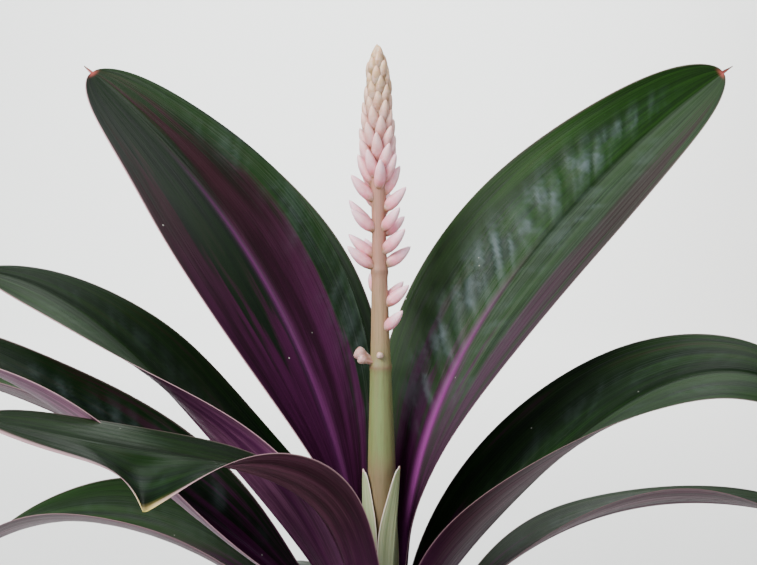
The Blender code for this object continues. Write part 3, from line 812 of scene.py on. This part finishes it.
def painted_sheen(tree, skin, lines, creases):
    """Painted grey highlight on the ridges of the wrinkles, painted shade in the gaps between them and a
    painted grey sheen in the lines. Returns the skin and the mask of the highlight."""
    patches = times(tree, read(tree, "bloom"), sums(tree, "ADD", creases, 0.35))
    ridge_highlight = times(tree, patches, sums(tree, "ADD", read(tree, "ridge"), 0.15))
    gap_shade = times(tree, patches, sums(tree, "SUBTRACT", 1.0, read(tree, "ridge")))
    # Painted shade in the gaps between the wrinkles
    skin = blended(tree, times(tree, gap_shade, 0.6), skin, (0.004, 0.009, 0.008, 1))
    # Painted grey highlight on the ridges of the wrinkles
    skin = blended(tree, ridge_highlight, skin, (0.064, 0.088, 0.090, 1))
    # Pale grey-green over the lines: a painted sheen
    film = times(tree, read(tree, "film"), stepped(tree, lines, 0.0, 0.85))
    return blended(tree, film, skin, (0.075, 0.090, 0.075, 1)), ridge_highlight


def underside(tree, streaks, lines):
    """Between brown-purple and mauve as the leaf is marked, purple near its base and dark in its veins."""
    deep = blended(tree, streaks, (0.022, 0.007, 0.010, 1), (0.070, 0.023, 0.036, 1))
    light = blended(tree, streaks, (0.055, 0.012, 0.045, 1), (0.185, 0.065, 0.140, 1))
    lower = blended(tree, read(tree, "mauve"), deep, light)
    base = times(tree, stepped(tree, read(tree, "along"), 0.36, 0.16), 0.7)
    lower = blended(tree, base, lower, (0.060, 0.010, 0.048, 1))
    veined = times(tree, stepped(tree, lines, 0.45, 0.7), 0.6)
    return blended(tree, veined, lower, (0.035, 0.020, 0.024, 1))


def speckled(tree, skin):
    """Pale specks at the middles of some cells of a random pattern, those with a high number."""
    place = node(tree, "ShaderNodeTexCoord").outputs["Object"]
    cells = node(tree, "ShaderNodeTexVoronoi", {"Vector": place, "Scale": 90.0})
    chosen = node(tree, "ShaderNodeSeparateColor", {0: cells.outputs["Color"]}).outputs[0]
    dots = stepped(tree, cells.outputs["Distance"], 0.055, 0.03)
    speck = times(tree, dots, stepped(tree, chosen, 0.72, 0.74))
    return blended(tree, times(tree, speck, 0.7), skin, (0.50, 0.52, 0.46, 1))


def make_leaf_skin():
    """The upper side with its purple rib, or the underside, and over both the specks, the pale margin,
    the golden corner, the pink tip and the brown awn."""
    finish, tree, shader = new_finish("leaf_skin", Roughness=0.45, Specular_IOR_Level=0.09)
    streaks, lines, creases = vein_masks(tree)
    upper = flushed(tree, green_skin(tree, streaks, lines), streaks)
    upper, ridge_highlight = painted_sheen(tree, upper, lines, creases)
    upper = blended(tree, read(tree, "rib"), upper, (0.19, 0.035, 0.17, 1))
    skin = blended(tree, read(tree, "under"), upper, underside(tree, streaks, lines))
    skin = speckled(tree, skin)
    skin = blended(tree, read(tree, "margin"), skin, (0.62, 0.38, 0.42, 1))
    skin = blended(tree, read(tree, "gold"), skin, (0.62, 0.52, 0.14, 1))
    skin = blended(tree, read(tree, "tip"), skin, (0.36, 0.08, 0.07, 1))
    skin = blended(tree, read(tree, "awn"), skin, (0.16, 0.075, 0.045, 1))
    tree.links.new(skin, shader.inputs["Base Color"])
    gloss = sums(tree, "ADD", times(tree, lines, 0.25), 0.30)
    tree.links.new(gloss, shader.inputs["Roughness"])
    bumped(tree, shader, sums(tree, "ADD", lines, times(tree, ridge_highlight, 0.8)), 0.28, 0.0008)
    return finish


# Places of the points across one half of a blade, from the rib to the margin
HALF_COLUMNS = [
    0, 0.012, 0.03, 0.055, 0.09, 0.13, 0.18, 0.24, 0.30, 0.37, 0.44, 0.51, 0.58, 0.65, 0.72, 0.79, 0.85,
    0.90, 0.94, 0.97, 0.988, 1.0,
]
TIP_START = 0.94
TIP_ROWS = 40
LEAF_SEED = 1
SEED_STEP = 10
# The skin's pattern has this many units for each metre of a leaf, and differs by this much for each seed
PATTERN_UNITS = 20
PATTERN_SHIFT = 3.7


def both_sides(upper, lower):
    """One grid that runs over the upper side from right to left and back along the lower side."""
    return np.concatenate([upper, lower[:, ::-1]], axis=1)


def make_blade(leaf, seat, finish, slot, seed):
    """A closed blade: upper and lower sheets joined round the margins and closed at both ends. It thins
    by a cubic towards the margins, and a keel of bell section thickens it along the rib."""
    rows = np.linspace(0, TIP_START, leaf.rows), np.linspace(TIP_START, 1, TIP_ROWS + 1)[1:]
    t = np.concatenate(rows)
    u = np.concatenate([-np.array(HALF_COLUMNS[:0:-1]), HALF_COLUMNS])
    sheet, normals, half = leaf_sheet(leaf, seat, t, u)
    sheet = sheet + normals * leaf_relief(leaf, t, u, half, seed)[..., None]
    across = np.abs(u) * half[:, None]
    thick = BLADE_THICKNESS * (0.35 + 0.5 * (1 - np.abs(u) ** 3))
    ends = ((1 - t) ** 0.7 * smooth(t, 0.0, 0.12))[:, None]
    keel = KEEL_DEPTH * np.exp(-((across / KEEL_WIDTH) ** 2)) * ends
    upper = sheet + normals * (thick / 2)[..., None]
    lower = sheet - normals * (thick / 2 + keel)[..., None]
    mesh = grid_mesh(leaf.name + "_blade", both_sides(upper, lower), capped=True)
    for name, grid in leaf_marks(leaf, t, u, half, seed).items():
        mark(mesh, name, both_sides(grid, grid))
    mark(mesh, "under", both_sides(0 * across, 0 * across + 1))
    along = (t * leaf.length * PATTERN_UNITS)[:, None]
    blade = np.stack(np.broadcast_arrays(u, along, PATTERN_SHIFT * seed), -1)
    mark(mesh, "blade", both_sides(blade, blade), "FLOAT_VECTOR")
    piece(leaf.name + "_blade", sealed(mesh, poles=False), finish, slot, leaf.name)


leaf_skin = make_leaf_skin()
for number, leaf in enumerate(LEAVES):
    seat = ((0, 0), float(stem_radius(leaf.height)) + CLASP_GAP + BLADE_THICKNESS / 2)
    make_blade(leaf, seat, leaf_skin, "foliage", LEAF_SEED + SEED_STEP * number)

# Sheaths
# Two short pale leaves, almost white at their margins, that wrap the foot of the flower stalk. They are
# thin and soft, and grow from the top of the stem.

SPIKE_FOOT = (-0.0022, 0.0, STEM_TOP + GAP)
SPIKE_FOOT_RADIUS = 0.0068
SHEATH_SEED = 501
PALE = Look(Half(bloom=0, beside=0, film=0, pale=1), Half(bloom=0, beside=0, film=0, pale=1), reach=0,
            rib=0, faded=1, bright=0, mauve=0, wave=0.1)
SHEATHS = [
    Leaf("sheath_right", height=0.17, length=0.062, width=0.013, bearing=(-66, -14), rise=(86, 84),
         fold=(55, 50), belly=0.45, start=0.02, rows=60, look=PALE),
    Leaf("sheath_left", height=0.169, length=0.06, width=0.014, bearing=(197, 192), rise=(89, 88),
         fold=(55, 50), belly=0.45, start=0.02, rows=60, look=PALE),
]


def make_sheath_skin():
    """Pale green skin with fine lengthwise lines, whiter margins and a pink tip."""
    finish, tree, shader = new_finish(
        "sheath_skin", Roughness=0.5, Subsurface_Weight=0.15, Subsurface_Scale=0.002
    )
    streaks, lines = vein_masks(tree)[:2]
    skin = blended(tree, streaks, (0.25, 0.30, 0.145, 1), (0.38, 0.42, 0.25, 1))
    skin = blended(tree, stepped(tree, lines, 0.5, 0.8), skin, (0.44, 0.46, 0.32, 1))
    skin = blended(tree, read(tree, "margin"), skin, (0.66, 0.55, 0.48, 1))
    skin = blended(tree, read(tree, "tip"), skin, (0.55, 0.33, 0.28, 1))
    tree.links.new(skin, shader.inputs["Base Color"])
    bumped(tree, shader, lines, 0.3, 0.0004)
    return finish


sheath_skin = make_sheath_skin()
for number, sheath in enumerate(SHEATHS):
    seat = (SPIKE_FOOT[:2], SPIKE_FOOT_RADIUS + CLASP_GAP + BLADE_THICKNESS / 2)
    make_blade(sheath, seat, sheath_skin, "pale_green", SHEATH_SEED + SEED_STEP * number)

# Flower spike
# One fleshy stalk, green low down and pink above, ringed at its joints. Small waxy buds sit on it, loose
# and pink below and packed into a cone of olive-cream buds at the top.

SPIKE_TIP = (-0.0049, 0.0, 0.4145)
# Height and radius at stations up the stalk
SPIKE_RADII = [(0.167, 0.0068), (0.233, 0.0062), (0.263, 0.0051), (0.289, 0.0042), (0.315, 0.0036),
               (0.334, 0.0032), (0.350, 0.0034), (0.372, 0.0046), (0.395, 0.0045), (0.407, 0.0031),
               (0.4145, 0.0012)]
# Above its brown foot the stalk goes over to each colour between two heights
STALK_COLOURS = [
    (0.224, 0.241, (0.165, 0.215, 0.076, 1)), (0.268, 0.292, (0.33, 0.22, 0.12, 1)),
    (0.292, 0.330, (0.38, 0.18, 0.140, 1)), (0.370, 0.400, (0.33, 0.26, 0.14, 1)),
]
RING_HEIGHTS = (0.275, 0.318)
RING_SWELL = 0.0005
RING_REACH = 0.002
JOINT_MARK_REACH = 0.0011
STALK_RINGS = 240
STALK_SIDES = 40
STALK_RIBS = 9
STALK_RIB_HEIGHT = 0.012
BUD_RINGS = 17
BUD_SIDES = 14
BUD_SAG = 0.10
BUD_LOBES = 3
LOBE_HEIGHT = 0.06
# How deep a bud's root lies in the stalk: the share of the stalk's radius where its axis begins
BUD_SINK = 0.6
CONE_BUDS = 62
CONE_FOOT = 0.350
CONE_TOP = 0.4054
CONE_RISE_STATIONS = (0, 0.88, 1)
CONE_RISE = (60, 75, 88)
CONE_BUD_LENGTH = (0.0160, 0.0105)
CONE_BUD_RADIUS = (0.0027, 0.0025)
CONE_SINK = 0.95
CONE_SEED = 7
GOLDEN_ANGLE = 137.5
RIPE_HEIGHTS = (0.340, 0.395)
SEAM_WIDTH = 0.28

# Buds on the open part of the stalk: height of the root, bearing, rise, length and radius
SIDE_BUDS = [
    (0.2900, 325, 42, 0.0140, 0.0026),
    (0.3010, 350, 40, 0.0150, 0.0027), (0.3030, 20, 42, 0.0130, 0.0024), (0.3060, 110, 40, 0.0140, 0.0027),
    (0.3180, 195, 38, 0.0165, 0.0028), (0.3190, 2, 36, 0.0150, 0.0028), (0.3210, 120, 40, 0.0150, 0.0027),
    (0.3230, 176, 40, 0.0160, 0.0027), (0.3250, 328, 43, 0.0165, 0.0029), (0.3300, 95, 42, 0.0150, 0.0027),
    (0.3330, 18, 38, 0.0135, 0.0026), (0.3340, 182, 50, 0.0190, 0.0028), (0.3350, 202, 40, 0.0155, 0.0028),
    (0.3350, 322, 46, 0.0150, 0.0026), (0.3410, 65, 45, 0.0145, 0.0026), (0.3435, 352, 45, 0.0155, 0.0028),
    (0.3450, 128, 47, 0.0150, 0.0027), (0.3480, 196, 46, 0.0165, 0.0028),
]
# The faded stub at the lower joint, as two lobes, and the small knob above it
STUB_BUDS = [(0.2755, 192, 32, 0.0105, 0.0030), (0.2762, 205, 18, 0.0085, 0.0024)]
KNOB_BUDS = [(0.2800, 268, 10, 0.0050, 0.0016)]
PINK_BUD = ((0.80, 0.24, 0.33, 1), (0.97, 0.59, 0.70, 1))
FADED_BUD = ((0.30, 0.15, 0.10, 1), (0.46, 0.25, 0.22, 1))
KNOB_BUD = ((0.34, 0.19, 0.12, 1), (0.62, 0.43, 0.36, 1))
# Stations from a bud's foot, 0, to its tip, 1, and its girth at each as a share of its radius
BUD_GIRTHS = ([0, 0.08, 0.25, 0.45, 0.68, 0.86, 0.96, 1], [0.45, 0.68, 0.94, 1.0, 0.80, 0.48, 0.22, 0.0])
STUB_GIRTHS = ([0, 0.1, 0.45, 0.75, 0.92, 0.98, 1], [0.70, 0.62, 0.66, 1.0, 0.90, 0.55, 0.0])
KNOB_GIRTHS = ([0, 0.3, 0.6, 0.85, 1], [0.6, 0.9, 1.0, 0.7, 0.0])


def spike_centre(height):
    """Points of the stalk's axis at the given heights: a straight line from its foot to its tip."""
    share = (np.asarray(height) - SPIKE_FOOT[2]) / (SPIKE_TIP[2] - SPIKE_FOOT[2])
    return np.array(SPIKE_FOOT) + share[..., None] * (np.array(SPIKE_TIP) - np.array(SPIKE_FOOT))


def stalk_radius(height):
    """Radius up the stalk, read from its stations, with a bell-shaped swelling at each joint."""
    heights, radii = zip(*SPIKE_RADII)
    swell = sum(np.exp(-(((height - ring) / RING_REACH) ** 2)) for ring in RING_HEIGHTS)
    return np.interp(height, heights, radii) + RING_SWELL * swell


def make_stalk_skin():
    """Stalk colours by height: brown foot, green, tan at the lower joint, then pink and pale cream."""
    finish, tree, shader = new_finish(
        "stalk_skin", Roughness=0.5, Subsurface_Weight=0.1, Subsurface_Scale=0.002
    )
    place = node(tree, "ShaderNodeTexCoord").outputs["Object"]
    height = node(tree, "ShaderNodeSeparateXYZ", {0: place}).outputs[2]
    blotches, fibres = grain_masks(tree, stretched(tree, place, (1.0, 1.0, 0.05)), 260.0, 1300.0)
    skin = (0.19, 0.140, 0.075, 1)
    for start, end, colour in STALK_COLOURS:
        skin = blended(tree, stepped(tree, height, start, end), skin, colour)
    skin = blended(tree, times(tree, blotches, 0.35), skin, (0.20, 0.12, 0.06, 1))
    streaks = times(tree, stepped(tree, fibres, 0.45, 0.75), 0.45)
    skin = blended(tree, streaks, skin, (0.105, 0.100, 0.036, 1))
    skin = blended(tree, read(tree, "joint"), skin, (0.20, 0.10, 0.065, 1))
    tree.links.new(skin, shader.inputs["Base Color"])
    bumped(tree, shader, fibres, 0.3, 0.0003)
    return finish


def make_stalk():
    """Rings of the stalk's radius about its leaning axis, with shallow lengthwise ribs as a cosine of the
    angle, closed by a point at both ends."""
    height = np.linspace(SPIKE_FOOT[2], SPIKE_TIP[2], STALK_RINGS)
    angle = np.arange(STALK_SIDES) * 2 * math.pi / STALK_SIDES
    radius = stalk_radius(height)[:, None] * (1 + STALK_RIB_HEIGHT * np.cos(STALK_RIBS * angle))
    ring = np.stack([radius * np.cos(angle), radius * np.sin(angle), 0 * radius], -1)
    axis = spike_centre(height)[:, None]
    ends = axis[[0, -1]] + np.zeros((1, STALK_SIDES, 1))
    mesh = grid_mesh("spike_stalk", np.concatenate([ends[:1], axis + ring, ends[1:]]))
    joint = sum(np.exp(-(((height - ring) / JOINT_MARK_REACH) ** 2)) for ring in RING_HEIGHTS)
    joint = np.concatenate([[0], joint, [0]])
    mark(mesh, "joint", np.repeat(0.7 * joint[:, None], STALK_SIDES, axis=1))
    piece("spike_stalk", sealed(mesh), make_stalk_skin(), "blossom", "flower_spike")


def bud_table():
    """Rows of height, bearing, rise, length and radius for all buds. Those of the cone follow a
    golden-angle spiral and shorten and stand closer to the stalk towards the top."""
    draws = random.Random(CONE_SEED)
    rows = list(SIDE_BUDS)
    for index in range(CONE_BUDS):
        share = index / (CONE_BUDS - 1)
        height = CONE_FOOT + (CONE_TOP - CONE_FOOT) * share
        bearing = GOLDEN_ANGLE * index + draws.uniform(-6, 6)
        rise = np.interp(share, CONE_RISE_STATIONS, CONE_RISE) + draws.uniform(-3, 3)
        length = np.interp(share, (0, 1), CONE_BUD_LENGTH)
        radius = np.interp(share, (0, 1), CONE_BUD_RADIUS)
        rows.append((height, bearing, rise, length, radius))
    return np.array(rows, float)


def make_bud_skin(name, tones):
    """Waxy skin whose two tones run from the bud's foot to its tip, browner at the very foot and
    olive-cream on the buds high on the spike."""
    low, high = tones
    finish, tree, shader = new_finish(
        name, Roughness=0.42, Subsurface_Weight=0.2, Subsurface_Scale=0.0025
    )
    place = node(tree, "ShaderNodeTexCoord").outputs["Object"]
    blotches, grains = grain_masks(tree, place, 420.0, 1600.0)
    along = read(tree, "along")
    pink = blended(tree, stepped(tree, along, 0.25, 0.9), low, high)
    cream = blended(tree, stepped(tree, along, 0.35, 0.95), (0.24, 0.14, 0.05, 1), (0.68, 0.44, 0.24, 1))
    skin = blended(tree, read(tree, "ripe"), pink, cream)
    skin = blended(tree, stepped(tree, along, 0.38, 0.08), skin, (0.26, 0.14, 0.05, 1))
    # Pink-tan seams in the grooves between the lobes: partly the petals' own colour, partly painted shade
    skin = blended(tree, read(tree, "seam"), skin, (0.66, 0.33, 0.30, 1))
    skin = blended(tree, times(tree, blotches, 0.25), skin, (0.95, 0.74, 0.78, 1))
    tree.links.new(skin, shader.inputs["Base Color"])
    bumped(tree, shader, grains, 0.12, 0.0003)
    return finish


def bud_points(table, girths):
    """Grids of points, one for each row of the table. A bud's axis leaves the stalk at its bearing and
    rise and sags by a parabola. Its girth follows the stations, and a cosine of the angle gives it three
    soft lobes for the closed petals."""
    height, bearing, rise, length, radius = (column[:, None, None] for column in table.T)
    bearing, rise = np.radians(bearing), np.radians(rise)
    s = np.linspace(0, 1, BUD_RINGS)[None, :, None]
    angle = np.arange(BUD_SIDES)[None, None, :] * 2 * math.pi / BUD_SIDES
    axis = np.stack([np.cos(rise) * np.cos(bearing), np.cos(rise) * np.sin(bearing), np.sin(rise)], -1)
    sideways = np.stack([-np.sin(bearing), np.cos(bearing), 0 * bearing], -1)
    over = np.cross(axis, sideways)
    lobes = 1 + LOBE_HEIGHT * np.cos(BUD_LOBES * angle) * np.sin(math.pi * s)
    ring = radius * np.interp(s, *girths) * lobes
    root = spike_centre(height[..., 0])[:, :, None, :]
    sink = np.where(height > CONE_FOOT, CONE_SINK, BUD_SINK)
    core = (sink * stalk_radius(height))[..., None]
    sag = (BUD_SAG * length * (s**2 - s))[..., None]
    points = (
        root + axis * (core + (length * s)[..., None]) + over * sag
        + (ring * np.cos(angle))[..., None] * sideways + (ring * np.sin(angle))[..., None] * over
    )
    points[:, 0] = points[:, 0].mean(axis=1, keepdims=True)
    return points, s, angle, height


def make_buds(name, table, girths, skin):
    """One piece of all the table's buds, marked with the place along each, with how ripe it is by its
    height, and with its seams, which are bells between the lobes."""
    points, s, angle, height = bud_points(table, girths)
    mesh = grid_mesh(name, points)
    grid = points[..., 0] * 0
    mark(mesh, "along", grid + s)
    mark(mesh, "ripe", grid + smooth(height, *RIPE_HEIGHTS))
    seams = np.exp(-((np.sin(BUD_LOBES / 2 * angle) / SEAM_WIDTH) ** 2))
    mark(mesh, "seam", grid + 0.5 * seams * np.sin(math.pi * s))
    piece(name, sealed(mesh), skin, "blossom", "flower_spike")


make_stalk()
make_buds("spike_buds", bud_table(), BUD_GIRTHS, make_bud_skin("bud_skin", PINK_BUD))
make_buds("spike_stub", np.array(STUB_BUDS), STUB_GIRTHS, make_bud_skin("stub_skin", FADED_BUD))
make_buds("spike_knob", np.array(KNOB_BUDS), KNOB_GIRTHS, make_bud_skin("knob_skin", KNOB_BUD))

# Studio
# A pale seamless sweep behind and under the plant, lit softly from above, with the camera where the
# photograph was taken from.

SWEEP_SIDE = 7
SWEEP_FRONT = -6.0
BEND_START = 2.6
BEND_RADIUS = 1.4
SWEEP_TOP = 1.5
# Name, place, aim, size, power and colour of each lamp
LAMPS = [
    ("window", (-1.3, -1.3, 1.5), (0, 0, 0.28), 1.3, 103.0, (1.0, 0.99, 0.97)),
    ("room", (1.6, -1.3, 0.9), (0, 0, 0.28), 1.5, 14.0, (0.95, 0.98, 1.0)),
    ("ceiling", (0.4, 0.4, 2.0), (0, 0, 0.25), 1.4, 26.0, (1.0, 1.0, 1.0)),
    ("wall", (0, 2.2, 2.4), (0, 3.9, 0.5), 2.5, 205.0, (1.0, 1.0, 0.99)),
]
ROOM_COLOUR = (0.86, 0.89, 0.92, 1)
ROOM_STRENGTH = 0.30
CAMERA_PLACE = (-0.00425, -0.79696, 0.38272)
CAMERA_AIM = (-0.00425, 0, 0.313)
LENS = 85
SENSOR_WIDTH = 36


def make_sweep():
    """A floor that curves up into a wall: a quarter circle carried along X between two straight runs."""
    bend = np.radians(np.linspace(0, 90, 24))
    wall = BEND_START + BEND_RADIUS
    y = np.concatenate([[SWEEP_FRONT], BEND_START + BEND_RADIUS * np.sin(bend), [wall]])
    z = np.concatenate([[0.0], BEND_RADIUS - BEND_RADIUS * np.cos(bend), [SWEEP_TOP]])
    x = np.linspace(SWEEP_SIDE, -SWEEP_SIDE, 3)
    points = np.stack(np.broadcast_arrays(x, y[:, None], z[:, None]), -1)
    mesh = grid_mesh("sweep", points, closed=False)
    finish, tree, shader = new_finish("sweep_paper", Roughness=0.9)
    place = node(tree, "ShaderNodeTexCoord").outputs["Object"]
    apart = node(tree, "ShaderNodeSeparateXYZ", {0: place})
    # The paper darkens and warms towards the lower right and the floor: painted shade
    slope = sums(tree, "SUBTRACT", apart.outputs[0], apart.outputs[2])
    paper = blended(tree, stepped(tree, slope, -0.2, 1.6), (0.79, 0.81, 0.80, 1), (0.62, 0.60, 0.58, 1))
    tree.links.new(paper, shader.inputs["Base Color"])
    mesh.materials.append(finish)
    mesh.shade_smooth()
    sweep = bpy.data.objects.new("sweep", mesh)
    bpy.context.scene.collection.objects.link(sweep)


def point_at(thing, place, aim):
    """Stands a lamp or camera at place, looking at aim with its top upwards."""
    thing.location = place
    thing.rotation_mode = "QUATERNION"
    thing.rotation_quaternion = (Vector(aim) - Vector(place)).to_track_quat("-Z", "Y")


def make_light(name, place, aim, size, power, colour):
    """A round lamp of the given diameter in metres and power in watts, turned towards its aim."""
    data = bpy.data.lights.new(name, "AREA")
    data.shape = "DISK"
    data.size = size
    data.energy = power
    data.color = colour
    light = bpy.data.objects.new(name, data)
    bpy.context.scene.collection.objects.link(light)
    point_at(light, place, aim)


make_sweep()
for lamp in LAMPS:
    make_light(*lamp)

world = bpy.data.worlds.new("studio")
world.use_nodes = True
world.node_tree.nodes["Background"].inputs[0].default_value = ROOM_COLOUR
world.node_tree.nodes["Background"].inputs[1].default_value = ROOM_STRENGTH
bpy.context.scene.world = world

camera_data = bpy.data.cameras.new("camera")
camera_data.lens = LENS
camera_data.sensor_width = SENSOR_WIDTH
camera = bpy.data.objects.new("camera", camera_data)
bpy.context.scene.collection.objects.link(camera)
point_at(camera, CAMERA_PLACE, CAMERA_AIM)
bpy.context.scene.camera = camera

bpy.context.view_layer.update()
